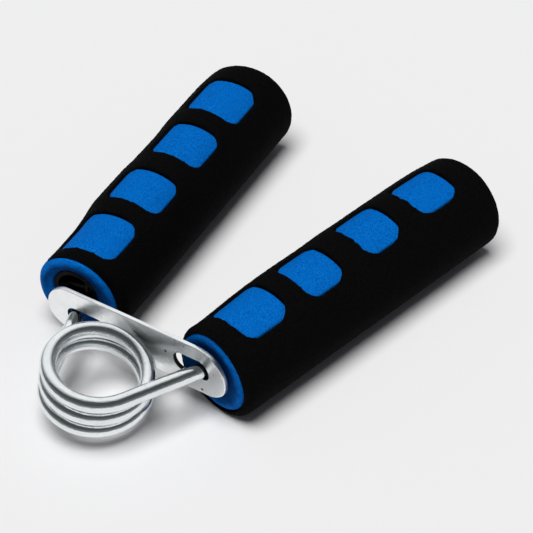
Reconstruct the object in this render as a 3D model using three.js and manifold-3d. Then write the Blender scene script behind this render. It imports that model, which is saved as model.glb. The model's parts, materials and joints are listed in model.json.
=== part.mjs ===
// A hand grip strengthener: a torsion spring with two foam-covered grips and a slotted link plate.
// Millimetres, +Z up. The grips lie on the plane z = 0 and open towards +Y, with the coil at the -Y end.
import * as THREE from 'three';
import { mergeVertices } from 'three/addons/utils/BufferGeometryUtils.js';
import Module from 'manifold-3d';

// ---- Driving dimensions ----
const FIT_GAP = 0.3; // clearance kept between pieces that touch
const CUT_MARGIN = 1; // how far a cutting solid runs past what it cuts

// Foam grips
const GRIP_RADIUS = 15;
const GRIP_LENGTH = 101.5;
const GRIP_SPLAY = THREE.MathUtils.degToRad(9); // each grip's axis, out from the centre line
const GRIP_SPACING = 25.6; // a grip's axis from the centre line, where it passes the link plate
const GRIP_START = { left: 23.0, right: 18.5 }; // a grip's near end from the coil's axis, along Y
const OUTER_FOAM = 1.9; // thickness of the outer layer
const NEAR_ROUNDING = 2.8; // length over which the near end rounds off
const NEAR_ARC = 0.9; // share of a quarter turn that the near end's rounding takes
const FAR_ROUNDING = 3.5;
const END_WALL = 2.4; // outer foam that closes the far end
const INNER_CHAMFER = 2.4; // the inner foam's mouth, dished towards the core
const INNER_LIP = 1.2; // rounding of the inner foam's near edge

// Windows in the outer foam, one for each finger
const WINDOW_COUNT = 4;
const WINDOW_PITCH = 23.5;
const WINDOW_FIRST = { left: 13.3, right: 15.7 }; // the first window's middle, from the near end
const WINDOW_LENGTH = 16;
const WINDOW_HALF_WIDTH = 9;
const WINDOW_CORNER = 4.5;
const WINDOW_FLOOR = 3.75; // height above the grip's axis where a window's cut starts

// Plastic core inside each grip
const CORE_RADIUS = 7.3;
const CORE_WALL = 1.3;
const CORE_INSET = 2.6; // the core's end, back from the foam's near end
const HUB_WALL = 1.1; // wall of the channel that holds the wire
const RIB = 1.2;
const RIB_INSET = 1; // the ribs' ends, back from the core's

// Torsion spring
const WIRE_RADIUS = 2.3;
const COIL_RADIUS = 14.05; // to the middle of the wire
const COIL_PITCH = 5.7;
const COIL_HEIGHT = 14.7; // the coil's middle above the plane
const COIL_LEAN = THREE.MathUtils.degToRad(16); // lean to +X, which brings both legs to the grips' height
const LEG_SPLAY = THREE.MathUtils.degToRad(21.5); // where the legs leave the coil
const FULL_TURNS = 2; // whole turns, on top of the part turn between the legs
const BEND_REACH = 2.5; // from a bend's corner to either end of its curve
const WIRE_RUN = 84; // wire inside a grip

// Link plate
const PLATE_THICKNESS = 1.3;
const PLATE_HALF_LENGTH = 32.7;
const PLATE_HALF_HEIGHT = 7.6;
const PLATE_MIDDLE = 15.3; // the plate's middle above the plane
const TAB_START = 24.8; // where the end tabs begin to bend
const SLOT_RADIUS = 3;
const SLOT_INNER = 14.6; // the slot's inner end from the centre line
const SLOT_OUTER = 25.8;
const SLOT_RISE = 0.2; // slot's middle above the wire's, for the slope of the moving leg

// ---- Fineness of the facets ----
const WELD = 1e-5; // points nearer than this are one
const OUTER_FOAM_SIDES = 48;
const INNER_FOAM_SIDES = 40;
const CORE_SIDES = 32;
const ROD_SIDES = 28;
const END_STEPS = 5; // along each rounded end of the outer foam
const LIP_STEPS = 3;
const COIL_STEPS = 64;
const LEG_STEPS = 36; // shared evenly by a leg's two straights and its bend
const WIRE_FINENESS = 7;
const PLATE_FINENESS = 10;
const WINDOW_FINENESS = 3;

// ---- Materials ----
const STEEL = { color: 0xc9ced0, roughness: 0.25, metalness: 1 };
const ZINC = { color: 0xc4c8c9, roughness: 0.4, metalness: 1 };
const BLUE_FOAM = { color: 0x0a63c4, roughness: 0.9, metalness: 0 };
const BLACK_FOAM = { color: 0x121314, roughness: 0.92, metalness: 0 };
const BLACK_PLASTIC = { color: 0x08090b, roughness: 0.5, metalness: 0 };

// ---- Helpers ----
const wasm = await Module();
wasm.setup();

const UP = new THREE.Vector3(0, 0, 1);
const SIDE = { left: -1, right: 1 };

function merged(geometry) {
  geometry.deleteAttribute('normal');
  geometry.deleteAttribute('uv');
  return mergeVertices(geometry, WELD);
}

function toSolid(geometry) {
  const closed = merged(geometry);
  return new wasm.Manifold(new wasm.Mesh({
    numProp: 3,
    vertProperties: new Float32Array(closed.attributes.position.array),
    triVerts: new Uint32Array(closed.index.array),
  }));
}

function toGeometry(solid) {
  const result = solid.getMesh();
  const geometry = new THREE.BufferGeometry();
  geometry.setAttribute('position', new THREE.BufferAttribute(result.vertProperties, 3));
  geometry.setIndex(new THREE.BufferAttribute(result.triVerts, 1));
  return geometry;
}

function piece(name, geometry, look) {
  const shaded = geometry.toNonIndexed();
  shaded.computeVertexNormals();
  const mesh = new THREE.Mesh(shaded, new THREE.MeshStandardMaterial(look));
  mesh.name = name;
  return mesh;
}

// A lathe turns about Y, which is each grip's own axis.
function turned(profile, segments) {
  return new THREE.LatheGeometry(profile.map(([r, along]) => new THREE.Vector2(r, along)), segments);
}

// Points of a quarter ellipse about (r, along), from the angle `from` to the angle `to` in quarter turns.
function quarter(r, along, reachR, reachAlong, from, to, steps) {
  return Array.from({ length: steps + 1 }, (_, i) => {
    const angle = (from + ((to - from) * i) / steps) * (Math.PI / 2);
    return [r + reachR * Math.cos(angle), along + reachAlong * Math.sin(angle)];
  });
}

function rod(radius, from, to, x, z) {
  const geometry = new THREE.CylinderGeometry(radius, radius, to - from, ROD_SIDES);
  geometry.translate(x, (from + to) / 2, z);
  return geometry;
}

// ---- Torsion spring ----
// A point on the coil: angle about its axis, height along it, both before the coil leans over.
function coilPoint(angle, height) {
  const point = new THREE.Vector3(COIL_RADIUS * Math.cos(angle), COIL_RADIUS * Math.sin(angle), height);
  point.applyAxisAngle(new THREE.Vector3(0, 1, 0), COIL_LEAN);
  return point.add(new THREE.Vector3(0, 0, COIL_HEIGHT));
}

const COIL_SWEEP = 2 * Math.PI * FULL_TURNS + Math.PI - 2 * LEG_SPLAY;

class CoilCurve extends THREE.Curve {
  getPoint(t, target = new THREE.Vector3()) {
    const height = (0.5 - t) * COIL_PITCH * (COIL_SWEEP / (2 * Math.PI));
    return target.copy(coilPoint(-LEG_SPLAY - COIL_SWEEP * t, height));
  }
}

function wire(curve, steps) {
  const section = new THREE.Shape().absarc(0, 0, WIRE_RADIUS, 0, 2 * Math.PI, false);
  return merged(new THREE.ExtrudeGeometry(section, {
    steps, curveSegments: WIRE_FINENESS, bevelEnabled: false, extrudePath: curve,
  }));
}

const PLATE_Y = COIL_RADIUS + WIRE_RADIUS + FIT_GAP + PLATE_THICKNESS / 2; // the plate's middle plane

// A leg leaves the coil straight, bends where it crosses the link plate, and runs on inside the grip.
function legRoute(side) {
  const coil = new CoilCurve();
  const start = coil.getPoint(side > 0 ? 0 : 1);
  const leave = new THREE.Vector3(side * Math.sin(LEG_SPLAY), Math.cos(LEG_SPLAY), 0);
  leave.applyAxisAngle(new THREE.Vector3(0, 1, 0), COIL_LEAN);
  const corner = start.clone().addScaledVector(leave, (PLATE_Y - start.y) / leave.y);
  const along = new THREE.Vector3(side * Math.sin(GRIP_SPLAY), Math.cos(GRIP_SPLAY), 0);
  return { start, leave, corner, along };
}

function legCurve(side) {
  const { start, leave, corner, along } = legRoute(side);
  const from = start.clone().addScaledVector(leave, FIT_GAP);
  const bendIn = corner.clone().addScaledVector(leave, -BEND_REACH);
  const bendOut = corner.clone().addScaledVector(along, BEND_REACH);
  const end = corner.clone().addScaledVector(along, WIRE_RUN);
  const curve = new THREE.CurvePath();
  curve.add(new THREE.LineCurve3(from, bendIn));
  curve.add(new THREE.QuadraticBezierCurve3(bendIn, corner, bendOut));
  curve.add(new THREE.LineCurve3(bendOut, end));
  return curve;
}

// ---- Link plate ----
// A strip seen from above, bent at both tabs, met by its outline seen from the front.
function linkPlate() {
  const half = PLATE_THICKNESS / 2;
  const tabEnd = PLATE_HALF_LENGTH + CUT_MARGIN;
  const drop = (tabEnd - TAB_START) * Math.tan(GRIP_SPLAY);
  const strip = new THREE.Shape([
    new THREE.Vector2(-tabEnd, -half - drop),
    new THREE.Vector2(-TAB_START, -half),
    new THREE.Vector2(TAB_START, -half),
    new THREE.Vector2(tabEnd, -half - drop),
    new THREE.Vector2(tabEnd, half - drop),
    new THREE.Vector2(TAB_START, half),
    new THREE.Vector2(-TAB_START, half),
    new THREE.Vector2(-tabEnd, half - drop),
  ]);
  const reach = PLATE_HALF_HEIGHT + CUT_MARGIN;
  const stripGeometry = new THREE.ExtrudeGeometry(strip, { depth: 2 * reach, bevelEnabled: false });
  stripGeometry.translate(0, PLATE_Y, PLATE_MIDDLE - reach);

  const roundCentre = PLATE_HALF_LENGTH - PLATE_HALF_HEIGHT;
  const outline = new THREE.Shape();
  outline.absarc(roundCentre, 0, PLATE_HALF_HEIGHT, -Math.PI / 2, Math.PI / 2, false);
  outline.absarc(-roundCentre, 0, PLATE_HALF_HEIGHT, Math.PI / 2, 1.5 * Math.PI, false);
  for (const side of [SIDE.left, SIDE.right]) outline.holes.push(slot(side));
  const outlineGeometry = new THREE.ExtrudeGeometry(outline, {
    depth: drop + PLATE_THICKNESS + 2 * CUT_MARGIN, curveSegments: PLATE_FINENESS, bevelEnabled: false,
  });
  outlineGeometry.rotateX(Math.PI / 2); // the outline's Y becomes Z, and its depth runs to -Y
  outlineGeometry.translate(0, PLATE_Y + half + CUT_MARGIN, PLATE_MIDDLE);
  return toGeometry(toSolid(stripGeometry).intersect(toSolid(outlineGeometry)));
}

// A slot's outline in the plate's own plane, level with the wire that passes through it.
function slot(side) {
  const middle = legRoute(side).corner.z + SLOT_RISE - PLATE_MIDDLE;
  const inner = side * (SLOT_INNER + SLOT_RADIUS);
  const outer = side * (SLOT_OUTER - SLOT_RADIUS);
  const right = Math.max(inner, outer);
  const left = Math.min(inner, outer);
  const path = new THREE.Path();
  path.absarc(right, middle, SLOT_RADIUS, -Math.PI / 2, Math.PI / 2, false);
  path.absarc(left, middle, SLOT_RADIUS, Math.PI / 2, 1.5 * Math.PI, false);
  return path;
}

// ---- Grips, each in its own frame: origin at the near end's centre, +Y along the grip ----
const INNER_RADIUS = GRIP_RADIUS - OUTER_FOAM; // the outer foam's inner wall
const FOAM_BORE = CORE_RADIUS + FIT_GAP;
const FOAM_END = GRIP_LENGTH - END_WALL; // where the hollow of the outer foam ends

function outerFoam(windowFirst) {
  const rounded = GRIP_RADIUS - FAR_ROUNDING;
  const lip = NEAR_ROUNDING - FIT_GAP;
  const near = quarter(INNER_RADIUS, NEAR_ROUNDING, OUTER_FOAM, lip, -NEAR_ARC, 0, END_STEPS);
  const far = quarter(rounded, GRIP_LENGTH - FAR_ROUNDING, FAR_ROUNDING, FAR_ROUNDING, 0, 1, END_STEPS);
  let sleeve = toSolid(turned([
    [0, FOAM_END], [INNER_RADIUS, FOAM_END], [INNER_RADIUS, near[0][1]], ...near, ...far, [0, GRIP_LENGTH],
  ], OUTER_FOAM_SIDES));
  for (let i = 0; i < WINDOW_COUNT; i += 1) {
    sleeve = sleeve.subtract(toSolid(windowCutter(windowFirst + i * WINDOW_PITCH)));
  }
  return toGeometry(sleeve);
}

// A rounded rectangle that cuts down through the upper side of the outer foam.
function windowCutter(middle) {
  const x = WINDOW_HALF_WIDTH - WINDOW_CORNER;
  const y = WINDOW_LENGTH / 2 - WINDOW_CORNER;
  const outline = new THREE.Shape();
  outline.absarc(x, -y, WINDOW_CORNER, -Math.PI / 2, 0, false);
  outline.absarc(x, y, WINDOW_CORNER, 0, Math.PI / 2, false);
  outline.absarc(-x, y, WINDOW_CORNER, Math.PI / 2, Math.PI, false);
  outline.absarc(-x, -y, WINDOW_CORNER, Math.PI, 1.5 * Math.PI, false);
  const geometry = new THREE.ExtrudeGeometry(outline, {
    depth: GRIP_RADIUS, curveSegments: WINDOW_FINENESS, bevelEnabled: false,
  });
  geometry.translate(0, middle, WINDOW_FLOOR);
  return geometry;
}

function innerFoam() {
  const outside = INNER_RADIUS - FIT_GAP;
  const lip = quarter(outside - INNER_LIP, INNER_LIP, INNER_LIP, INNER_LIP, -1, 0, LIP_STEPS);
  const end = FOAM_END - FIT_GAP;
  return merged(turned([
    [FOAM_BORE, INNER_CHAMFER], [FOAM_BORE + INNER_CHAMFER, 0], ...lip, [outside, end], [FOAM_BORE, end],
    [FOAM_BORE, INNER_CHAMFER],
  ], INNER_FOAM_SIDES));
}

// A ribbed tube with a channel for the wire moulded along its inboard side.
function core(channel) {
  const end = FOAM_END - FIT_GAP;
  const bore = CORE_RADIUS - CORE_WALL;
  const tube = toSolid(turned([
    [bore, CORE_INSET], [CORE_RADIUS, CORE_INSET], [CORE_RADIUS, end], [bore, end], [bore, CORE_INSET],
  ], CORE_SIDES));
  const bed = WIRE_RADIUS + FIT_GAP;
  const hub = toSolid(rod(bed + HUB_WALL, CORE_INSET + RIB_INSET, end, channel.x, channel.z));
  const ribLength = end - CORE_INSET - 2 * RIB_INSET;
  const rib = new THREE.BoxGeometry(2 * bore + CORE_WALL, ribLength, RIB);
  rib.translate(0, (end + CORE_INSET) / 2, 0);
  const crossRib = rib.clone().rotateY(Math.PI / 2);
  const passage = toSolid(rod(bed, 0, GRIP_LENGTH, channel.x, channel.z));
  return toGeometry(tube.add(hub).add(toSolid(rib)).add(toSolid(crossRib)).subtract(passage));
}

function grip(name) {
  const side = SIDE[name];
  const group = new THREE.Group();
  const start = GRIP_START[name];
  group.position.set(side * (GRIP_SPACING + (start - PLATE_Y) * Math.tan(GRIP_SPLAY)), start, GRIP_RADIUS);
  group.rotation.z = -side * GRIP_SPLAY;
  const channel = legRoute(side).corner.sub(group.position).applyAxisAngle(UP, side * GRIP_SPLAY);
  group.add(
    piece(`${name}_outer_foam`, outerFoam(WINDOW_FIRST[name]), BLACK_FOAM),
    piece(`${name}_inner_foam`, innerFoam(), BLUE_FOAM),
    piece(`${name}_grip_core`, core(channel), BLACK_PLASTIC),
  );
  return group;
}

// ---- The whole strengthener, its origin under the middle of its bounding box ----
const strengthener = new THREE.Group();
strengthener.add(
  piece('spring_coil', wire(new CoilCurve(), COIL_STEPS), STEEL),
  piece('spring_leg_left', wire(legCurve(SIDE.left), LEG_STEPS), STEEL),
  piece('spring_leg_right', wire(legCurve(SIDE.right), LEG_STEPS), STEEL),
  piece('link_plate', linkPlate(), ZINC),
  grip('left'),
  grip('right'),
);
const box = new THREE.Box3().setFromObject(strengthener, true);
const middle = box.getCenter(new THREE.Vector3());
strengthener.position.set(-middle.x, -middle.y, 0);

export default strengthener;
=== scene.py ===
"""A hand grip strengthener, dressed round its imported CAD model: bright spring wire, a stamped link plate,
ribbed plastic cores and two layers of foam. Everything is in metres, in the model's own frame."""
import json
import math
import random

import bmesh
import bpy
import numpy as np
from mathutils import Matrix, Vector, geometry, noise


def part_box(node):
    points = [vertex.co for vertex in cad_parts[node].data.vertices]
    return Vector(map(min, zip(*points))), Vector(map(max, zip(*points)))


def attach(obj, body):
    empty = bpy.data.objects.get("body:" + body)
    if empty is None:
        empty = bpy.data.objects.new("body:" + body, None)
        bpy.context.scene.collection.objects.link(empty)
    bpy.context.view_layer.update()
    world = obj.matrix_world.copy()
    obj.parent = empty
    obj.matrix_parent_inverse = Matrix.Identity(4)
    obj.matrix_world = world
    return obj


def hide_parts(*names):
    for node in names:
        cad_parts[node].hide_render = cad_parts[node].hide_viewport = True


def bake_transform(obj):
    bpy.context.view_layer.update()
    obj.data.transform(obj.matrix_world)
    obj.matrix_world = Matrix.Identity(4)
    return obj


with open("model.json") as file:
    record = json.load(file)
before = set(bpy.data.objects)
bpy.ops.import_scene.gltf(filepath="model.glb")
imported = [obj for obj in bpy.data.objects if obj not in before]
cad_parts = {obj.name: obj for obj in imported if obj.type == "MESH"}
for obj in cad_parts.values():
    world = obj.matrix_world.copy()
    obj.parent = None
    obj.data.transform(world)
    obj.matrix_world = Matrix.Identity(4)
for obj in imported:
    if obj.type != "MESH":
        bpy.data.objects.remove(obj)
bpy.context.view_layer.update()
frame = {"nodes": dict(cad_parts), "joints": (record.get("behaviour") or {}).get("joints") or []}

MM = 0.001
LEFT, RIGHT = -1, 1
SIDE = {"left": LEFT, "right": RIGHT}
UP = Vector((0, 0, 1))

# ---- Driving dimensions ----
GRIP_SPLAY = math.radians(9)  # each grip's axis, out from the centre line
GRIP_RADIUS = 15 * MM
OUTER_FOAM = 1.9 * MM  # thickness of the black layer
NEAR_ROUNDING = 2.8 * MM  # of the black layer's rims
FAR_ROUNDING = 2.4 * MM
END_WALL = 2.4 * MM  # thickness of the closed far end
LAYER_GAP = 0.3 * MM  # between one piece and the next
VOXEL = 0.38 * MM  # of the black layer's mesh
SLEEVE_SIDES, LINING_SIDES = 128, 216
SLEEVE_WAVERS = ((0.12 * MM, 14 * MM), (0.10 * MM, 0.9 * MM))  # how far a skin wavers, and over what distance
LINING_WAVERS = ((0.06 * MM, 6 * MM), (0.03 * MM, 0.9 * MM))

# Each window: its middle, in mm from the near end, its length in mm, and its left and right sides in degrees
# from the top.
WINDOWS = {
    "left": ((13.0, 17.1, -42, 40), (35.5, 15.2, -30, 44), (59.6, 15.9, -28, 44), (83.1, 16.8, -32, 43)),
    "right": ((15.5, 16.4, -38, 39), (37.8, 14.2, -29, 40), (61.2, 14.5, -31, 38), (84.0, 15.6, -29, 35))}
WINDOW_CORNERS = (4.9 * MM, 6.2 * MM, 5 * MM, 3.2 * MM)  # near right, far right, far left, near left
WINDOW_BULGE = 1.5 * MM  # the blue layer fills a window nearly flush
WINDOW_CROWN = 0.25 * MM  # and is a little fuller in the middle
WINDOW_RISE = (-0.25 * MM, 0.5 * MM)  # how far inside a window's side the bulge starts, and where it is full
WINDOW_CROWN_RISE = (0.5 * MM, 5 * MM)
WINDOW_WAVERS = ((0.22 * MM, 2.6 * MM), (0.3 * MM, 0.8 * MM))  # how far its rim strays, over what distance
WINDOW_SEED = {"left": 11, "right": 12}

FLANK_ANGLE = math.radians(58)  # the worn flank, from the top towards the left
WAIST_DEPTH = {"left": 1.25 * MM, "right": 1.7 * MM}  # how much thinner a grip's flank is near its end
WAIST_ONSET = (-14 * MM, 8 * MM)  # where along the grip it sets in
WAIST_FADE = {"left": (14 * MM, 30 * MM), "right": (-2 * MM, 32 * MM)}  # and where it dies away
SWELL = {"left": 0.38 * MM, "right": 0.2 * MM}  # and how much fuller it is further on
SWELLS = {"left": ((26, 48), (68, 99)), "right": ((48, 86),)}  # where it is fuller, in mm from the near end
SWELL_EASE = 4 * MM
FAR_TAPER = {"left": 0.4 * MM, "right": 0.7 * MM}  # how much thinner the flank is at the far end
FAR_TAPER_LENGTH = 12 * MM
FAR_SKEW = {"left": (-0.4 * MM, 1.1 * MM), "right": (-0.4 * MM, 0.4 * MM)}  # the far end's shift and slope
FAR_SKEW_LENGTH = 18 * MM
END_SHIFT = {"left": -1.3 * MM, "right": 0}  # the blue layer sits off the middle at the near end
END_SQUEEZE = {"left": 1, "right": 0.93}  # and is narrowed across by the tab
END_BULGE = {"left": 0, "right": 1.2 * MM}  # how far it swells out beside the tab
BULGE_ONSET = (4 * MM, 11 * MM)  # how far from the middle that starts, and where it is full
FLOOR_GAP = 0.03 * MM  # no foam comes nearer to the floor

CORE_RADIUS = 7.3 * MM
CORE_WALL = 1.3 * MM
CORE_REACH = {"left": 1.7 * MM, "right": 0}  # how far the tube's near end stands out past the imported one
CORE_SHIFT = {"left": -2.2 * MM, "right": 0}  # and how far off the middle, with the foam's bore following it
CORE_EDGE = 0.15 * MM  # rounding of the core's edges

WIRE_RADIUS = 2.3 * MM
COIL_RADIUS = 14.05 * MM
COIL_PITCH = 5.7 * MM
COIL_TURN = Matrix.Rotation(math.radians(16), 3, "Y")  # the coil leans to the right
COIL_AXIS = COIL_TURN @ UP
LEG_SPLAY = math.radians(21.5)
COIL_HALF_SWEEP = math.radians(360 + 90) - LEG_SPLAY
LEG_RISE = 0.7 * MM  # the coil's pitch carries on a little along the legs
LEG_SHIFT = {LEFT: 0, RIGHT: 0.5 * MM}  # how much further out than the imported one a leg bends
BEND_REACH = 2.5 * MM  # how far a leg's bend goes, before and after its corner
WIRE_RUN = 84 * MM  # beyond the bend, inside the core
WIRE_SIDES = 40
COIL_STEPS = 190  # points along half of the coil
LEG_STEPS, BEND_STEPS, RUN_STEPS = 40, 14, 60  # and along a leg, its bend and the run inside the core
SEAM_LEAD = 20  # points shared across the seam
SEAM_STEP = 0.01 * MM
EASING_PASSES = 12

PLATE_THICKNESS = 1.3 * MM
PLATE_HALF_LENGTH = 33.1 * MM
PLATE_HALF_HEIGHT = 7.6 * MM
PLATE_OFFSET = 0.4 * MM  # the right tab is the longer one
PLATE_TILT = math.radians(1.9)  # the right end lies a little higher
PLATE_LIFT = 0.35 * MM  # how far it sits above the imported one
PLATE_EDGE = 0.24 * MM  # rounding of the plate's edges
PLATE_STEP = 1 * MM  # between the points of its mesh
PLATE_GRID = (32 * MM, 7 * MM)  # how far along and across the inner points go
TAB_START = {LEFT: 26.2 * MM, RIGHT: 23.3 * MM}  # where a tab is bent, from the middle
TAB_BEND_RADIUS = 2.2 * MM
TAB_COLUMNS = (-0.5, -0.25, -0.08, 0.08, 0.25, 0.5)  # closer points across that bend, in mm from it
SLOT_RADIUS = 3 * MM
SLOT_SPAN = {LEFT: (11.6 * MM, 26.1 * MM), RIGHT: (13.8 * MM, 26.7 * MM)}  # a slot's inner and outer ends
SLOT_PLAY = 0.2 * MM  # how far the right slot sits above its wire, and the left one below
SLOT_STEP = 0.8 * MM
ROUND_END_STEPS = 28
DROOP_DEPTH = 1.4 * MM  # how much deeper the strip is below its right slot
DROOP_ONSET, DROOP_FADE = (6 * MM, 16 * MM), (23 * MM, 31 * MM)
DROOP_TOP = 3.5 * MM  # how far below the middle line it starts
PITS = ((11.0 * MM, 1.2 * MM), (22.8 * MM, -7.6 * MM))  # two specks where the plating is missing

# ---- Places, from the frame ----
COIL_MIDDLE = Vector(frame["joints"][0]["pos_m"])
PLATE_LOW, PLATE_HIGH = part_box("link_plate")
PLATE_Y = PLATE_HIGH.y - PLATE_THICKNESS / 2
PLATE_Z = (PLATE_LOW.z + PLATE_HIGH.z) / 2


def grip_frame(name):
    """From a grip's own axes, with +Y along it from the middle of its near end, to the model's frame."""
    turn = Matrix.Rotation(-SIDE[name] * GRIP_SPLAY, 4, "Z")
    back = turn.inverted()
    foam = [back @ v.co for v in frame["nodes"][name + "_inner_foam"].data.vertices]
    x, z = ((min(v[k] for v in foam) + max(v[k] for v in foam)) / 2 for k in (0, 2))
    return turn @ Matrix.Translation((x, min(v.y for v in foam), z))


def grip_length(name):
    """A grip's length, from its near end to the far end of the black layer."""
    back = grip_frame(name).inverted()
    return max((back @ v.co).y for v in frame["nodes"][name + "_outer_foam"].data.vertices)


# ---- Mesh helpers ----
def make_object(name, vertices, faces, place=None):
    mesh = bpy.data.meshes.new(name)
    mesh.from_pydata([tuple(v) for v in vertices], [], faces)
    mesh.validate()
    mesh.shade_smooth()
    made = bpy.data.objects.new(name, mesh)
    bpy.context.scene.collection.objects.link(made)
    if place is not None:
        made.matrix_world = place
    bpy.context.view_layer.update()
    return made


def face_out(obj):
    """Turns every face of a closed mesh outwards."""
    bm = bmesh.new()
    bm.from_mesh(obj.data)
    bmesh.ops.recalc_face_normals(bm, faces=bm.faces)
    bm.to_mesh(obj.data)
    bm.free()


def apply_modifiers(obj):
    """Leaves the object with the mesh that its modifiers give."""
    shaped = obj.evaluated_get(bpy.context.evaluated_depsgraph_get())
    mesh = bpy.data.meshes.new_from_object(shaped)
    obj.modifiers.clear()
    obj.data = mesh
    mesh.shade_smooth()


def smoothstep(low, high, value):
    share = np.clip((value - low) / (high - low), 0, 1)
    return share * share * (3 - 2 * share)


def points_of(mesh):
    points = np.empty(len(mesh.vertices) * 3)
    mesh.vertices.foreach_get("co", points)
    return points.reshape(-1, 3)


def set_points(mesh, points):
    mesh.vertices.foreach_set("co", points.ravel())
    mesh.update()


def arc(centre, reach, start, end, steps):
    """Points of an elliptical arc about a centre, from one angle to another in quarter turns."""
    turns = np.linspace(start, end, steps + 1) * math.pi / 2
    return [(centre[0] + reach[0] * math.cos(a), centre[1] + reach[1] * math.sin(a)) for a in turns]


def line(start, end, step):
    """Points from start up to, but without, end."""
    count = max(1, round(math.dist(start, end) / step))
    return [tuple(np.add(start, np.subtract(end, start) * k / count)) for k in range(count)]


def turned(profile, sides):
    """Vertices and faces of a closed profile of (radius, along) points, turned about Y. Its ends may lie on
    Y."""
    vertices, rings, faces = [], [], []
    for radius, along in profile:
        if radius < 1e-7:
            rings.append([len(vertices)] * sides)
            vertices.append((0, along, 0))
            continue
        rings.append([len(vertices) + k for k in range(sides)])
        vertices += [(radius * math.sin(a), along, radius * math.cos(a))
                     for a in np.arange(sides) * 2 * math.pi / sides]
    open_ended = profile[0][0] < 1e-7
    for i in range(len(rings) - open_ended):
        ring, other = rings[i], rings[(i + 1) % len(rings)]
        for k in range(sides):
            corners = [ring[k], ring[(k + 1) % sides], other[(k + 1) % sides], other[k]]
            faces.append(tuple(dict.fromkeys(corners)))
    return vertices, faces


# ---- Material helpers ----
def node(tree, kind, inputs=(), output=0, **settings):
    """Adds a shader node, with its settings, and sets or links its inputs. Returns one of its outputs."""
    made = tree.nodes.new("ShaderNode" + kind)
    for name, value in settings.items():
        setattr(made, name, value)
    for name, value in dict(inputs).items():
        if isinstance(value, bpy.types.NodeSocket):
            tree.links.new(value, made.inputs[name])
        else:
            made.inputs[name].default_value = value
    return made.outputs[output]


def mixed(tree, factor, first, second):
    """A colour between two others. The Mix node's colours are its inputs 6 and 7, and its output 2."""
    return node(tree, "Mix", {0: factor, 6: first, 7: second}, output=2, data_type="RGBA")


def noisy(tree, place, scale, detail, roughness=0.5):
    """A noise between 0 and 1, mostly near the middle."""
    return node(tree, "TexNoise", {"Vector": place, "Scale": scale, "Detail": detail, "Roughness": roughness})


def ranged(tree, value, low, high, new_low, new_high):
    """A value brought from one range to another and kept inside it."""
    return node(tree, "MapRange", {"Value": value, "From Min": low, "From Max": high,
                                   "To Min": new_low, "To Max": new_high})


def scaled(tree, value, factor, added=0.0):
    """A value times a factor, plus another value."""
    return node(tree, "Math", {0: value, 1: factor, 2: added}, operation="MULTIPLY_ADD")


def place_of(tree, stretch=(1, 1, 1), source=None):
    """A texture place in millimetres, from the piece's own axes or from another vector, stretched."""
    if source is None:
        source = node(tree, "TexCoord", output="Object")
    scale = tuple(s / MM for s in stretch)
    return node(tree, "Mapping", {"Vector": source, "Scale": scale})


def surface(name, **settings):
    """A new material, its tree and its Principled shader, whose plain settings are given."""
    material = bpy.data.materials.new(name)
    material.use_nodes = True
    tree = material.node_tree
    shader = tree.nodes["Principled BSDF"]
    for key, value in settings.items():
        shader.inputs[key.replace("_", " ").title().replace("Ior", "IOR")].default_value = value
    return material, tree, shader


def bumped(tree, shader, *layers):
    """Links bumps to a shader, each a height and how far it stands out."""
    normal = None
    for height, reach in layers:
        inputs = {"Height": height, "Strength": 1.0, "Distance": reach}
        if normal is not None:
            inputs["Normal"] = normal
        normal = node(tree, "Bump", inputs)
    tree.links.new(normal, shader.inputs["Normal"])


def foam_material(name, dark, light, patch, grain, specular, painted_end_shade):
    """Closed-cell foam: a fine cellular skin, a little uneven in colour, with pores and a soft nap. Its cut
    near end is darkened with painted shade, most of all round the bore."""
    material, tree, shader = surface(name, specular_ior_level=specular)
    place = place_of(tree)
    cells = node(tree, "TexVoronoi", {"Vector": place, "Scale": 2.4})
    fine = noisy(tree, place, 2.1, 3.0, 0.6)
    broad = noisy(tree, place, 0.11, 3.0)
    speck = noisy(tree, place, 1.3, 2.0)
    base = mixed(tree, ranged(tree, fine, 0.32, 0.68, 0.0, 1.0), (*dark, 1), (*light, 1))
    base = mixed(tree, ranged(tree, broad, 0.42, 0.72, 0.0, 0.55), base, (*patch, 1))
    pores = ranged(tree, cells, 0.02, 0.2, grain, 0.0)
    base = mixed(tree, pores, base, (*[c * 0.35 for c in dark], 1))
    along = node(tree, "SeparateXYZ", {"Vector": place}, output="Y")
    across = node(tree, "VectorMath", {0: place, 1: (1, 0, 1)}, operation="MULTIPLY")
    radius = node(tree, "VectorMath", {0: across}, output="Value", operation="LENGTH")
    # Painted shade: the cut near end is darkened, most of all round the bore, with a noisy edge.
    depth = scaled(tree, noisy(tree, place, 0.35, 2.0), 3.0, scaled(tree, radius, 0.8, along))
    base = mixed(tree, ranged(tree, depth, 8.8, 11.2, painted_end_shade, 0.0), base, (*[c * 0.4 for c in dark], 1))
    tree.links.new(base, shader.inputs["Base Color"])
    tree.links.new(ranged(tree, speck, 0.3, 0.7, 0.85, 0.98), shader.inputs["Roughness"])
    height = node(tree, "Math", {0: fine, 1: ranged(tree, cells, 0.0, 0.45, 0.0, 0.6)}, operation="ADD")
    bumped(tree, shader, (height, 0.07 * MM))
    return material


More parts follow.
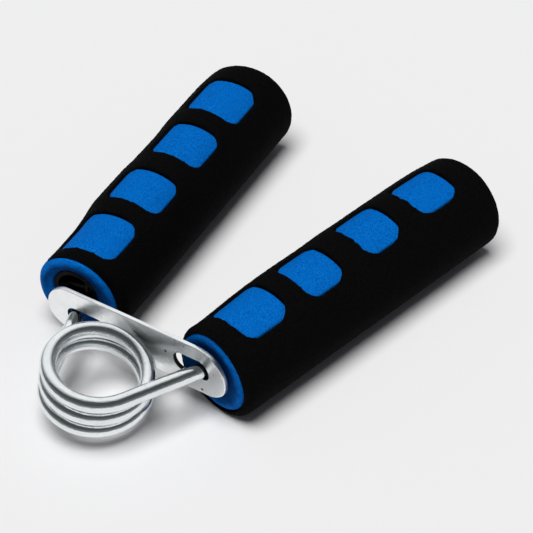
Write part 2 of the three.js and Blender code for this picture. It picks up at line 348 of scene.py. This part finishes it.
def wire_material():
    """Bright plated spring wire: faint drawing marks along it, small scuffs and a slightly uneven polish."""
    material, tree, shader = surface("bright_wire", metallic=1.0)
    along = node(tree, "Attribute", output="Vector", attribute_name="wire_place")
    streaks = noisy(tree, place_of(tree, (0.2, 1, 1), along), 2.6, 3.0, 0.6)
    patches = noisy(tree, place_of(tree, (1, 1, 1), along), 0.16, 3.0)
    scuffs = noisy(tree, place_of(tree, (0.4, 1, 1), along), 1.5, 4.0, 0.7)
    scuffed = ranged(tree, scuffs, 0.58, 0.72, 0.0, 1.0)
    polish = ranged(tree, patches, 0.35, 0.7, 0.08, 0.13)
    tree.links.new(scaled(tree, scuffed, 0.2, polish), shader.inputs["Roughness"])
    patchy = ranged(tree, patches, 0.3, 0.7, 0.0, 1.0)
    tint = mixed(tree, patchy, (0.88, 0.90, 0.91, 1), (0.80, 0.83, 0.84, 1))
    tint = mixed(tree, scaled(tree, scuffed, 0.5), tint, (0.5, 0.52, 0.53, 1))
    tree.links.new(tint, shader.inputs["Base Color"])
    bumped(tree, shader, (streaks, 0.03 * MM), (scuffs, 0.025 * MM))
    return material


def plate_material():
    """Zinc-plated steel strip: satin bright, gently wavy, with faint rolling lines along its length and a
    few specks. The punched walls of its slots are rougher, and darkened with painted shade."""
    material, tree, shader = surface("plated_strip", metallic=1.0)
    place = place_of(tree)
    lines = noisy(tree, place_of(tree, (0.06, 1, 1)), 1.6, 4.0, 0.6)
    waves = noisy(tree, place, 0.09, 1.0, 0.4)
    spangle = noisy(tree, place, 0.35, 4.0, 0.6)
    specks = noisy(tree, place, 1.8, 4.0, 0.7)
    wall = node(tree, "Attribute", output="Fac", attribute_name="slot_wall")
    polish = ranged(tree, spangle, 0.35, 0.7, 0.27, 0.34)
    tree.links.new(scaled(tree, wall, 0.4, polish), shader.inputs["Roughness"])
    spangled = ranged(tree, spangle, 0.3, 0.7, 0.0, 1.0)
    tint = mixed(tree, spangled, (0.94, 0.95, 0.95, 1), (0.86, 0.88, 0.88, 1))
    tint = mixed(tree, ranged(tree, specks, 0.72, 0.8, 0.0, 0.3), tint, (0.45, 0.46, 0.46, 1))
    for x, z in PITS:
        pit = (x / MM, -PLATE_THICKNESS / 2 / MM, z / MM)
        away = node(tree, "VectorMath", {0: place, 1: pit}, output="Value", operation="DISTANCE")
        ragged = scaled(tree, specks, 0.5, away)
        tint = mixed(tree, ranged(tree, ragged, 0.55, 0.8, 1.0, 0.0), tint, (0.02, 0.02, 0.025, 1))
    # Painted shade: the slot walls are darkened to near black.
    tint = mixed(tree, wall, tint, (0.05, 0.05, 0.055, 1))
    tree.links.new(tint, shader.inputs["Base Color"])
    bumped(tree, shader, (waves, 0.06 * MM), (lines, 0.008 * MM))
    return material


def plastic_material():
    """Black moulded plastic with a fine spark-eroded texture."""
    material, tree, shader = surface("moulded_core", specular_ior_level=0.06)
    texture = noisy(tree, place_of(tree), 4.0, 3.0)
    flow = noisy(tree, place_of(tree, (1, 0.1, 1)), 0.5, 3.0)
    tree.links.new(ranged(tree, flow, 0.3, 0.7, 0.45, 0.6), shader.inputs["Roughness"])
    tint = mixed(tree, flow, (0.001, 0.001, 0.0012, 1), (0.0028, 0.003, 0.0032, 1))
    tree.links.new(tint, shader.inputs["Base Color"])
    bumped(tree, shader, (texture, 0.012 * MM))
    return material


# ---- Spring wire ----
def coil_point(angle, height):
    point = Vector((COIL_RADIUS * math.cos(angle), COIL_RADIUS * math.sin(angle), height))
    return COIL_MIDDLE + COIL_TURN @ point


def wire_route(side):
    """The wire's middle line, from the front of the coil's middle turn to its end inside a grip's core. It
    begins with a point of the other half, which only gives the seam the right slope."""
    front = -math.pi / 2
    route = []
    for k in range(-SEAM_LEAD, COIL_STEPS + 1):
        turn = COIL_HALF_SWEEP * k / COIL_STEPS
        height = COIL_PITCH * turn / (2 * math.pi)
        route.append(coil_point(front + side * turn, side * height))
    start = route[-1]
    leave = COIL_TURN @ Vector((side * math.sin(LEG_SPLAY), math.cos(LEG_SPLAY), 0))
    corner = start + leave * ((PLATE_Y - start.y) / leave.y)
    corner.x += LEG_SHIFT[side]
    corner.z += side * LEG_RISE
    leave = (corner - start).normalized()
    along = Vector((side * math.sin(GRIP_SPLAY), math.cos(GRIP_SPLAY), 0))
    bend_in = corner - leave * BEND_REACH
    bend_out = corner + along * BEND_REACH
    route += [start.lerp(bend_in, k / LEG_STEPS) for k in range(1, LEG_STEPS + 1)]
    for k in range(1, BEND_STEPS + 1):
        share = k / BEND_STEPS
        route.append(bend_in.lerp(corner, share).lerp(corner.lerp(bend_out, share), share))
    end = corner + along * WIRE_RUN
    route += [bend_out.lerp(end, k / RUN_STEPS) for k in range(1, RUN_STEPS + 1)]
    return eased(route)[SEAM_LEAD - 1:]


def eased(route):
    """Evens out the slope where the coil runs into a leg. The ends stay."""
    points = np.array([tuple(p) for p in route])
    for _ in range(EASING_PASSES):
        points[1:-1] = (points[:-2] + 2 * points[1:-1] + points[2:]) / 4
    return [Vector(p) for p in points]


def wire_piece(name, side, material):
    """A round wire swept along its route. A very short first stretch makes both halves shade alike where
    they meet. Each point keeps its place on the wire, along it and round it, for the material."""
    before, *route = wire_route(side)
    slope = (route[1] - before).normalized()
    route.insert(1, route[0] + slope * SEAM_STEP)
    across = COIL_AXIS
    vertices, places = [], []
    travelled = 0
    for k, point in enumerate(route):
        if k < 2:
            tangent = slope
        else:
            tangent = (route[min(k + 1, len(route) - 1)] - route[k - 1]).normalized()
        across = (across - tangent * across.dot(tangent)).normalized()
        other = tangent.cross(across) * side
        travelled += (point - route[max(k - 1, 0)]).length
        for j in range(WIRE_SIDES):
            angle = 2 * math.pi * j / WIRE_SIDES
            vertices.append(point + WIRE_RADIUS * (across * math.cos(angle) + other * math.sin(angle)))
            places.append((side * travelled, WIRE_RADIUS * math.cos(angle), WIRE_RADIUS * math.sin(angle)))
    last = (len(route) - 1) * WIRE_SIDES
    faces = [tuple(range(WIRE_SIDES)), tuple(range(last, last + WIRE_SIDES))]
    for first in range(0, last, WIRE_SIDES):
        for j in range(WIRE_SIDES):
            a, b = first + j, first + (j + 1) % WIRE_SIDES
            faces.append((a, b, b + WIRE_SIDES, a + WIRE_SIDES))
    wire = make_object(name, vertices, faces)
    face_out(wire)
    attribute = wire.data.attributes.new("wire_place", "FLOAT_VECTOR", "POINT")
    attribute.data.foreach_set("vector", np.array(places).ravel())
    sharpen_caps(wire)
    wire.data.materials.append(material)
    return wire


def sharpen_caps(obj):
    """Keeps the flat end faces from bending the shading of the wire's side."""
    bm = bmesh.new()
    bm.from_mesh(obj.data)
    for face in bm.faces:
        if len(face.verts) > 4:
            face.smooth = False
            for edge in face.edges:
                edge.smooth = False
    bm.to_mesh(obj.data)
    bm.free()


def make_spring():
    material = wire_material()
    for name, side in SIDE.items():
        wire = wire_piece("spring_wire_" + name, side, material)
        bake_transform(wire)
        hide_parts("spring_leg_" + name)
        if side > 0:
            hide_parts("spring_coil")


# ---- Link plate ----
def half_round(x, z, radius, start):
    """Points of a round end between its two corners, from an angle on."""
    angles = [start + math.pi * k / ROUND_END_STEPS for k in range(1, ROUND_END_STEPS)]
    return [(x + radius * math.cos(a), z + radius * math.sin(a)) for a in angles]


def stadium(middle, half_straight, radius, step, columns):
    """A loop in (x, z) with round ends and two straight sides, which have points at the given columns."""
    x0, z0 = middle
    count = max(2, round(2 * half_straight / step) + 1)
    straight = set(np.linspace(-half_straight, half_straight, count).tolist())
    straight |= {c - x0 for c in columns if abs(c - x0) < half_straight}
    straight = sorted(straight)
    loop = half_round(x0 + half_straight, z0, radius, -math.pi / 2)
    loop += [(x0 + s, z0 + radius) for s in reversed(straight)]
    loop += half_round(x0 - half_straight, z0, radius, math.pi / 2)
    loop += [(x0 + s, z0 - radius) for s in straight]
    return loop


def slot_middle(side):
    """The middle of a slot, nearly level with the wire in it."""
    crossing = min(wire_route(side), key=lambda p: abs(p.y - PLATE_Y))
    middle = side * sum(SLOT_SPAN[side]) / 2
    return middle, crossing.z - PLATE_Z + side * SLOT_PLAY - PLATE_LIFT - middle * math.sin(PLATE_TILT)


def plate_loops(inset, columns):
    """The strip's outline, drawn in by the inset, and its slots, widened by it."""
    half_straight = PLATE_HALF_LENGTH - PLATE_HALF_HEIGHT
    loops = [stadium((PLATE_OFFSET, 0), half_straight, PLATE_HALF_HEIGHT - inset, PLATE_STEP, columns)]
    for side, (inner, outer) in SLOT_SPAN.items():
        straight = (outer - inner) / 2 - SLOT_RADIUS
        loops.append(stadium(slot_middle(side), straight, SLOT_RADIUS + inset, SLOT_STEP, columns))
    return loops


def droop(x, z):
    """How far a point of the strip is drawn down, below the right slot."""
    share = smoothstep(*DROOP_ONSET, x) * (1 - smoothstep(*DROOP_FADE, x))
    return DROOP_DEPTH * share * smoothstep(DROOP_TOP, PLATE_HALF_HEIGHT, -z)


def bent(x, depth, z):
    """A point of the flat strip, with the strip's end tabs bent towards the coil."""
    half_angle = GRIP_SPLAY / 2
    start = TAB_START[int(math.copysign(1, x))] - TAB_BEND_RADIUS * math.tan(half_angle)
    over = abs(x) - start
    if over <= 0:
        return x, depth, z
    angle = min(over / TAB_BEND_RADIUS, GRIP_SPLAY)
    rest = over - TAB_BEND_RADIUS * angle
    reach = TAB_BEND_RADIUS + depth
    new_x = start + reach * math.sin(angle) + rest * math.cos(angle)
    new_depth = reach * math.cos(angle) - TAB_BEND_RADIUS - rest * math.sin(angle)
    return math.copysign(new_x, x), new_depth, z


def inside(point, loop):
    """True if the point lies in the loop, which is convex."""
    (x, y), turns = point, []
    for (ax, ay), (bx, by) in zip(loop, loop[1:] + loop[:1]):
        turns.append((bx - ax) * (y - ay) - (by - ay) * (x - ax))
    return min(turns) > 0 or max(turns) < 0


def filled(loops, columns):
    """Triangles between the outer loop and the slots, and the points inside that they use as well."""
    outer, *slots = loops
    points = [p for loop in loops for p in loop]
    edges, start = [], 0
    for loop in loops:
        edges += [(start + k, start + (k + 1) % len(loop)) for k in range(len(loop))]
        start += len(loop)
    across, up = (np.arange(-reach, reach + 0.1 * PLATE_STEP, PLATE_STEP).tolist() for reach in PLATE_GRID)
    inner = []
    for x in sorted(set(across + columns)):
        for z in up:
            near_edge = min(math.dist((x, z), p) for p in points) < 0.6 * PLATE_STEP
            if not near_edge and inside((x, z), outer) and not any(inside((x, z), s) for s in slots):
                inner.append((x, z))
    points += inner
    _, _, triangles, source, _, _ = geometry.delaunay_2d_cdt([Vector(p) for p in points], edges, [], 0, 1e-9)
    kept = []
    for triangle in triangles:
        corners = [source[i][0] for i in triangle]
        middle = np.mean([points[i] for i in corners], axis=0)
        if inside(middle, outer) and not any(inside(middle, s) for s in slots):
            kept.append(corners)
    return kept, inner


def plate_mesh():
    """Vertices and faces of the flat strip, and for each vertex 1 if it lies on the wall of a slot."""
    columns = [side * (start + d * MM) for side, start in TAB_START.items() for d in TAB_COLUMNS]
    half = PLATE_THICKNESS / 2
    rounding = [math.pi / 2 * k / 3 for k in range(4)]
    levels = [(PLATE_EDGE * (1 - math.sin(a)), PLATE_EDGE * (1 - math.cos(a)) - half) for a in rounding]
    levels += [(inset, -depth) for inset, depth in reversed(levels)]
    vertices, faces, starts, wall = [], [], [], []
    for inset, depth in levels:
        starts.append([])
        for k, loop in enumerate(plate_loops(inset, columns)):
            starts[-1].append(len(vertices))
            vertices += [(x, depth, z) for x, z in loop]
            wall += [float(k > 0 and abs(depth) < half - 0.1 * PLATE_EDGE)] * len(loop)
    flat = plate_loops(PLATE_EDGE, columns)
    for front, back in zip(starts, starts[1:]):
        for a, b, size in zip(front, back, map(len, flat)):
            faces += [(a + k, a + (k + 1) % size, b + (k + 1) % size, b + k) for k in range(size)]
    triangles, inner = filled(flat, columns)
    boundary = sum(map(len, flat))
    for offset, depth, order in ((starts[0][0], -half, 1), (starts[-1][0], half, -1)):
        first_inner = len(vertices)
        vertices += [(x, depth, z) for x, z in inner]
        for triangle in triangles:
            corners = [offset + i if i < boundary else first_inner + i - boundary for i in triangle]
            faces.append(tuple(corners[::order]))
    wall += [0.0] * (len(vertices) - len(wall))
    return vertices, faces, wall


def make_plate():
    flat, faces, wall = plate_mesh()
    vertices = [bent(x, depth, z - droop(x, z)) for x, depth, z in flat]
    middle = Vector((COIL_MIDDLE.x, PLATE_Y, PLATE_Z + PLATE_LIFT))
    place = Matrix.Translation(middle) @ Matrix.Rotation(-PLATE_TILT, 4, "Y")
    plate = make_object("link_plate_stamped", vertices, faces, place)
    face_out(plate)
    slot_wall = plate.data.attributes.new("slot_wall", "FLOAT", "POINT")
    slot_wall.data.foreach_set("value", wall)
    weigh = plate.modifiers.new("weigh", "WEIGHTED_NORMAL")
    weigh.keep_sharp = True
    plate.data.materials.append(plate_material())
    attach(plate, "spring")
    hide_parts("link_plate")


# ---- Foam ----
def window_place(window):
    """A window's middle as (across, along) on the grip's skin, and its half width and half length."""
    middle, length, low, high = window
    across = [math.radians(a) * GRIP_RADIUS for a in (low, high)]
    return (sum(across) / 2, middle * MM), (across[1] - across[0]) / 2, length / 2 * MM


def window_outline(window, draw):
    """A rounded rectangle in (across, along) on the grip's skin, a little ragged."""
    (x0, y0), half_width, half_length = window_place(window)
    step = 0.3 * MM
    outline = []
    for k, (i, j) in enumerate(((1, -1), (1, 1), (-1, 1), (-1, -1))):
        radius = WINDOW_CORNERS[k] * draw.uniform(0.85, 1.1)
        outline += arc((i * (half_width - radius), j * (half_length - radius)), (radius, radius), k - 1, k, 7)
    phase = draw.uniform(0, 60) * MM
    dense = []
    for start, end in zip(outline, outline[1:] + outline[:1]):
        dense += line(start, end, step)
    ragged = []
    for px, py in dense:
        where = Vector((px, py, phase))
        push = sum(reach * noise.noise(where / scale) for reach, scale in WINDOW_WAVERS)
        distance = math.hypot(px, py)
        ragged.append((x0 + px + push * px / distance, y0 + py + push * py / distance))
    return ragged


def window_cutter(outline):
    """A closed block: the outline wrapped round the grip, from inside the black layer to outside it."""
    inner, outer = 11.5 * MM, 24 * MM
    vertices = []
    for radius in (inner, outer):
        for across, along in outline:
            angle = across / GRIP_RADIUS
            vertices.append((radius * math.sin(angle), along, radius * math.cos(angle)))
    count = len(outline)
    faces = [(k, (k + 1) % count, count + (k + 1) % count, count + k) for k in range(count)]
    faces += [tuple(range(count)), tuple(range(count, 2 * count))]
    return vertices, faces


def sleeve_profile(length):
    """The black layer's section, from the middle of its closed far end's inside round to its outside."""
    wall = GRIP_RADIUS - OUTER_FOAM
    near = arc((wall, NEAR_ROUNDING), (OUTER_FOAM, NEAR_ROUNDING - LAYER_GAP), -0.9, 0, 8)
    far = arc((GRIP_RADIUS - FAR_ROUNDING, length - FAR_ROUNDING), (FAR_ROUNDING, FAR_ROUNDING), 0, 1, 8)
    inside_end = (wall, length - END_WALL)
    step = 3 * MM
    profile = [(0, inside_end[1]), inside_end]
    profile += line(inside_end, (wall, near[0][1]), step)[1:]
    profile += [(wall, near[0][1])] + near
    profile += line(near[-1], far[0], step)[1:]
    profile += far + [(0, length)]
    return profile


def make_outer_foam(name, material):
    draw = random.Random(WINDOW_SEED[name])
    place = grip_frame(name)
    solid = turned(sleeve_profile(grip_length(name)), SLEEVE_SIDES)
    sleeve = make_object(name + "_foam_sleeve", *solid, place)
    face_out(sleeve)
    vertices, faces = [], []
    for window in WINDOWS[name]:
        block, sides = window_cutter(window_outline(window, draw))
        faces += [tuple(i + len(vertices) for i in face) for face in sides]
        vertices += block
    cutter = make_object("cutter", vertices, faces, place)
    face_out(cutter)
    cut = sleeve.modifiers.new("cut", "BOOLEAN")
    cut.object = cutter
    cut.operation = "DIFFERENCE"
    cut.solver = "EXACT"
    remesh = sleeve.modifiers.new("remesh", "REMESH")
    remesh.mode = "VOXEL"
    remesh.voxel_size = VOXEL
    soften = sleeve.modifiers.new("soften", "SMOOTH")
    soften.factor = 0.5
    soften.iterations = 3
    apply_modifiers(sleeve)
    bpy.data.objects.remove(cutter)
    waver(sleeve, SLEEVE_WAVERS)
    settle(sleeve, name)
    sleeve.data.materials.append(material)
    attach(sleeve, name + "_grip")
    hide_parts(name + "_outer_foam")


def waver(obj, wavers):
    """Moves each point in or out from the grip's axis by one soft noise after another."""
    least_radius = 2 * MM
    for reach, scale in wavers:
        points = points_of(obj.data)
        for point in points:
            radius = math.hypot(point[0], point[2])
            if radius > least_radius:
                push = reach * noise.noise(Vector(point) / scale)
                point[0] += push * point[0] / radius
                point[2] += push * point[2] / radius
        set_points(obj.data, points)


def waist(name, along):
    """How far a grip's worn flank stands out from the plain round, by the distance along it."""
    start, end = WAIST_FADE[name]
    length = grip_length(name)
    stand = -WAIST_DEPTH[name] * smoothstep(*WAIST_ONSET, along) * (1 - smoothstep(start, end, along))
    stand -= FAR_TAPER[name] * smoothstep(length - FAR_TAPER_LENGTH, length, along)
    for low, high in SWELLS[name]:
        rise = smoothstep(low * MM - SWELL_EASE, low * MM + SWELL_EASE, along)
        stand += SWELL[name] * rise * (1 - smoothstep(high * MM - SWELL_EASE, high * MM + SWELL_EASE, along))
    return stand


def settle(obj, name):
    """Presses a foam layer into the grip's shape: a thinner flank near the end, the blue layer off the
    middle there and swelling out, the bore following the core, a skewed far end, all above the floor."""
    points = points_of(obj.data)
    x, along, z = points.T
    radius = np.hypot(x, z)
    length = grip_length(name)
    # Shares by radius: 1 in the blue layer, 1 at the bore's wall, and 1 in the black layer.
    blue = 1 - smoothstep(13.1 * MM, 14.9 * MM, radius)
    bore = 1 - smoothstep(8 * MM, 11.5 * MM, radius)
    black = smoothstep(12.8 * MM, 13.6 * MM, radius)
    reach = 3 * MM + 9 * MM * smoothstep(8 * MM, 12.5 * MM, radius)  # how far in the near end's shape goes
    near = blue * (1 - smoothstep(0, reach, along))
    shift = near * (1 - bore) * END_SHIFT[name] + near * (END_SQUEEZE[name] - 1) * x
    shift += bore * CORE_SHIFT[name] * np.clip(1 - along / (length - END_WALL), 0, 1)
    flank = np.maximum(0, np.cos(np.arctan2(x, z) + FLANK_ANGLE)) * black
    grown = 1 + flank * waist(name, along) / np.maximum(radius, MM)
    mean, slope = FAR_SKEW[name]
    skew = (mean + slope * x / GRIP_RADIUS) * smoothstep(length - FAR_SKEW_LENGTH, length, along)
    floor = FLOOR_GAP - obj.matrix_world.translation.z
    points[:, 0] = x * grown + shift
    points[:, 1] = along + skew - near * END_BULGE[name] * smoothstep(*BULGE_ONSET, -x)
    points[:, 2] = np.maximum(z * grown, floor)
    set_points(obj.data, points)


def lining_end(name):
    """The blue layer's section at its near end, from the bore round to the outside. On the left it bulges
    out and leaves the core open. On the right, behind the tab, it is dished and closes over the core."""
    bore = CORE_RADIUS + LAYER_GAP
    outside = GRIP_RADIUS - OUTER_FOAM - LAYER_GAP
    if name == "left":
        crest, rim, soft = (10.5 * MM, -1.0 * MM), (bore + 0.8 * MM, 0.4 * MM), 2.0 * MM
        section = arc((rim[0], rim[1] + 0.8 * MM), (0.8 * MM, 0.8 * MM), -2, -1, 5)
    else:
        crest, rim, soft = (10.4 * MM, 0.12 * MM), (4.2 * MM, 1.2 * MM), 1.3 * MM
        section = [(bore, 2.3 * MM)] + arc((rim[0], rim[1] + 0.5 * MM), (0.6 * MM, 0.5 * MM), -3, -1, 6)
    section += line(rim, crest, 0.6 * MM)[1:]
    section += arc((crest[0], crest[1] + soft), (outside - crest[0], soft), -1, 0, 8)
    return section


def window_inset(name, points):
    """How far inside the nearest window each point of the turned blue layer is."""
    corner = min(WINDOW_CORNERS)
    skin = np.arctan2(points[:, 0], points[:, 2]) * GRIP_RADIUS
    inset = np.full(len(points), -1.0)
    for window in WINDOWS[name]:
        (x0, y0), half_width, half_length = window_place(window)
        across = np.abs(skin - x0) - (half_width - corner)
        along = np.abs(points[:, 1] - y0) - (half_length - corner)
        outside = np.hypot(np.maximum(across, 0), np.maximum(along, 0))
        inset = np.maximum(inset, corner - outside - np.minimum(np.maximum(across, along), 0))
    return inset


def make_inner_foam(name, material):
    outside = GRIP_RADIUS - OUTER_FOAM - LAYER_GAP
    bore = CORE_RADIUS + LAYER_GAP
    end = grip_length(name) - END_WALL - LAYER_GAP
    near = lining_end(name)
    bore_step, skin_step, end_step = 4 * MM, 0.4 * MM, 1.5 * MM
    profile = line((bore, end), near[0], bore_step) + near
    profile += line(near[-1], (outside, end), skin_step)[1:]
    profile += line((outside, end), (bore, end), end_step)
    foam = make_object(name + "_foam_lining", *turned(profile, LINING_SIDES), grip_frame(name))
    face_out(foam)
    points = points_of(foam.data)
    radius = np.hypot(points[:, 0], points[:, 2])
    inset = window_inset(name, points)
    raised = WINDOW_BULGE * smoothstep(*WINDOW_RISE, inset)
    raised += WINDOW_CROWN * smoothstep(*WINDOW_CROWN_RISE, inset)
    raised *= radius > outside - 0.01 * MM  # only the outer skin bulges
    grown = 1 + raised / radius
    points[:, 0] *= grown
    points[:, 2] *= grown
    set_points(foam.data, points)
    waver(foam, LINING_WAVERS)
    settle(foam, name)
    foam.data.materials.append(material)
    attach(foam, name + "_grip")
    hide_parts(name + "_inner_foam")


# ---- Cores ----
def make_core(name, material):
    """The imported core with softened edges. The left one's tube reaches the mouth of its hole."""
    place = grip_frame(name)
    core = frame["nodes"][name + "_grip_core"]
    mesh = core.data.copy()
    mesh.transform(place.inverted() @ core.matrix_world)
    moulded = bpy.data.objects.new(name + "_moulded_core", mesh)
    bpy.context.scene.collection.objects.link(moulded)
    moulded.matrix_world = place
    points = points_of(mesh)
    radius = np.hypot(points[:, 0], points[:, 2])
    slack = 0.1 * MM
    tube_end = (radius > CORE_RADIUS - CORE_WALL - 2 * slack) & (points[:, 1] < points[:, 1].min() + slack)
    points[tube_end, 1] -= CORE_REACH[name]
    points[tube_end, 0] += CORE_SHIFT[name]
    set_points(mesh, points)
    soften = moulded.modifiers.new("soften", "BEVEL")
    soften.width = CORE_EDGE
    soften.segments = 2
    soften.limit_method = "ANGLE"
    soften.angle_limit = math.radians(40)
    apply_modifiers(moulded)
    weigh = moulded.modifiers.new("weigh", "WEIGHTED_NORMAL")
    weigh.keep_sharp = True
    moulded.data.materials.clear()
    moulded.data.materials.append(material)
    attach(moulded, name + "_grip")
    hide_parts(name + "_grip_core")


# ---- Studio ----
def make_camera():
    """The viewing angle: from the front right and above, through a long lens, with a slight roll."""
    azimuth, elevation, roll = math.radians(41.69), math.radians(40.44), math.radians(-6)
    distance = 662.15 * MM
    target = Vector((COIL_MIDDLE.x - 0.69 * MM, COIL_MIDDLE.y + 75.23 * MM, 0))
    back = Vector((math.sin(azimuth) * math.cos(elevation), -math.cos(azimuth) * math.cos(elevation),
                   math.sin(elevation)))
    level = UP.cross(back).normalized()
    upright = back.cross(level)
    right = level * math.cos(roll) + upright * math.sin(roll)
    top = upright * math.cos(roll) - level * math.sin(roll)
    data = bpy.data.cameras.new("camera")
    data.lens = 149.4
    data.sensor_width = 36
    data.clip_end = 20
    camera = bpy.data.objects.new("camera", data)
    bpy.context.scene.collection.objects.link(camera)
    axes = Matrix((right, top, back)).transposed().to_4x4()
    camera.matrix_world = Matrix.Translation(target + back * distance) @ axes
    bpy.context.scene.camera = camera


def make_floor():
    reach = 4.0
    corners = [(-reach, -reach, 0), (reach, -reach, 0), (reach, reach, 0), (-reach, reach, 0)]
    floor = make_object("floor", corners, [(0, 1, 2, 3)])
    material, tree, shader = surface("pale_floor", roughness=0.9, specular_ior_level=0.0)
    paper = noisy(tree, node(tree, "TexCoord", output="Object"), 3.0, 2.0)
    tint = mixed(tree, paper, (0.80, 0.80, 0.80, 1), (0.805, 0.805, 0.805, 1))
    tree.links.new(tint, shader.inputs["Base Color"])
    floor.data.materials.append(material)


def make_lights():
    """One broad, even light overhead, tilted a little. The world stands for it in reflections."""
    data = bpy.data.lights.new("overhead", "SUN")
    data.energy = 3.13
    data.angle = math.radians(36)
    light = bpy.data.objects.new("overhead", data)
    bpy.context.scene.collection.objects.link(light)
    light.rotation_euler = (math.radians(11), math.radians(6.5), 0)
    light.visible_glossy = False


def make_world():
    """A dim, even fill. In reflections one broad bright screen hangs behind the grips, between a dark
    ceiling and pale low walls."""
    fill = (0.1, 0.1, 0.112, 1)
    pale_wall, dark_ceiling, screen = (0.19, 0.21, 0.215, 1), (0.068, 0.074, 0.076, 1), (0.93, 0.95, 0.96, 1)
    screen_middle = (-0.51, 0.433, 0.743)  # its direction
    world = bpy.data.worlds.new("studio")
    bpy.context.scene.world = world
    world.use_nodes = True
    tree = world.node_tree
    tree.nodes.clear()
    direction = node(tree, "TexCoord", output="Generated")
    height = node(tree, "SeparateXYZ", {"Vector": direction}, output="Z")
    towards_screen = node(tree, "VectorMath", {0: direction, 1: screen_middle}, output="Value",
                          operation="DOT_PRODUCT")
    room = mixed(tree, ranged(tree, height, 0.15, 0.55, 0.0, 1.0), pale_wall, dark_ceiling)
    room = mixed(tree, ranged(tree, towards_screen, 0.58, 0.90, 0.0, 1.0), room, screen)
    in_reflection = node(tree, "LightPath", output="Is Glossy Ray")
    background = node(tree, "Background", {"Color": mixed(tree, in_reflection, fill, room), "Strength": 1.0})
    output = tree.nodes.new("ShaderNodeOutputWorld")
    tree.links.new(background, output.inputs["Surface"])


bpy.context.scene.view_settings.view_transform = "Standard"
make_camera()
make_floor()
make_lights()
make_world()
make_spring()
make_plate()
black_foam = foam_material("black_foam_skin", dark=(0.0014, 0.0014, 0.0017), light=(0.0042, 0.0040, 0.0042),
                           patch=(0.0026, 0.0026, 0.0029), grain=0.5, specular=0.03, painted_end_shade=0.0)
# The blue layer's cut near end is darkened with painted shade; the black layer's is not.
blue_foam = foam_material("blue_foam_skin", dark=(0.0005, 0.070, 0.31), light=(0.0022, 0.175, 0.63),
                          patch=(0.001, 0.125, 0.48), grain=0.32, specular=0.05, painted_end_shade=0.88)
plastic = plastic_material()
for grip in SIDE:
    make_outer_foam(grip, black_foam)
    make_inner_foam(grip, blue_foam)
    make_core(grip, plastic)
